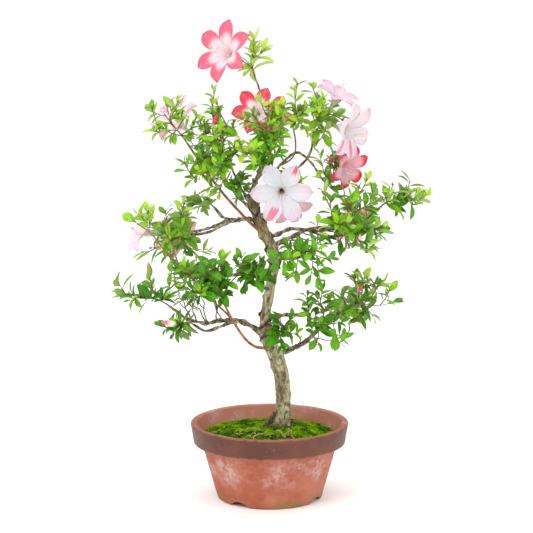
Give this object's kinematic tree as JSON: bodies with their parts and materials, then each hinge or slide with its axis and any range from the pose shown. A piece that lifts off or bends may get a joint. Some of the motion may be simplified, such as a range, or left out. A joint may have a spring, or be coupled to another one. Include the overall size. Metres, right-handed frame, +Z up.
{
  "type": "azalea shrub in a pot",
  "caption": "Azalea trained as a small tree with a bent trunk and open sprays of leaves and trumpet blooms, standing on moss in a low terracotta pot.",
  "frame": {"origin": "on the ground under the middle of the pot, which is the middle of the whole plant's box", "axes": "+Z up along the pot's axis, +X to the right seen from the front, -Y towards the front"},
  "size_m": [0.3736, 0.2305, 0.5461],
  "materials": {
    "terracotta": "matt unglazed clay, brown at the rim band, with pale lime patches and a green tinge low down",
    "earth": "matt damp grit and soil",
    "moss": "matt short cushion moss with a few pale surface roots",
    "bark": "matt grey-brown bark with dark knots",
    "foliage": "satin green leaves on red-brown twigs, with white, pink and coral blooms"
  },
  "bodies": {
    "root": {"pot": "terracotta", "earth": "earth", "moss": "moss", "trunk": "bark", "leader": "bark", "upper_front_bough": "bark", "arch": "bark", "upper_right_bough": "bark", "upper_centre_bough": "bark", "upper_left_bough": "bark", "upper_left_inner_bough": "bark", "left_middle_bough": "bark", "left_drooping_bough": "bark", "left_low_bough": "bark", "left_bottom_bough": "bark", "left_sweeping_bough": "bark", "centre_front_bough": "bark", "white_bloom_bough": "bark", "right_middle_bough": "bark", "right_far_bough": "bark", "right_front_bough": "bark", "right_low_bough": "bark", "right_low_inner_bough": "bark", "low_front_bough": "bark", "back_upper_bough": "bark", "back_upper_left_bough": "bark", "back_left_bough": "bark", "back_right_bough": "bark", "back_low_left_bough": "bark", "back_low_right_bough": "bark", "left_inner_low_bough": "bark", "apex": "foliage", "upper_front": "foliage", "upper_centre": "foliage", "upper_right": "foliage", "right_blooms": "foliage", "upper_left_outer": "foliage", "upper_left_inner": "foliage", "left_knob": "foliage", "left_middle": "foliage", "left_low_front": "foliage", "left_far_low": "foliage", "left_bottom": "foliage", "centre_front": "foliage", "white_blooms": "foliage", "right_front": "foliage", "right_middle": "foliage", "right_far": "foliage", "right_low_outer": "foliage", "right_low_inner": "foliage", "low_front": "foliage", "back_upper": "foliage", "back_upper_left": "foliage", "back_left": "foliage", "back_right": "foliage", "back_low_left": "foliage", "back_low_right": "foliage", "left_inner_low": "foliage"}
  },
  "joints": []
}
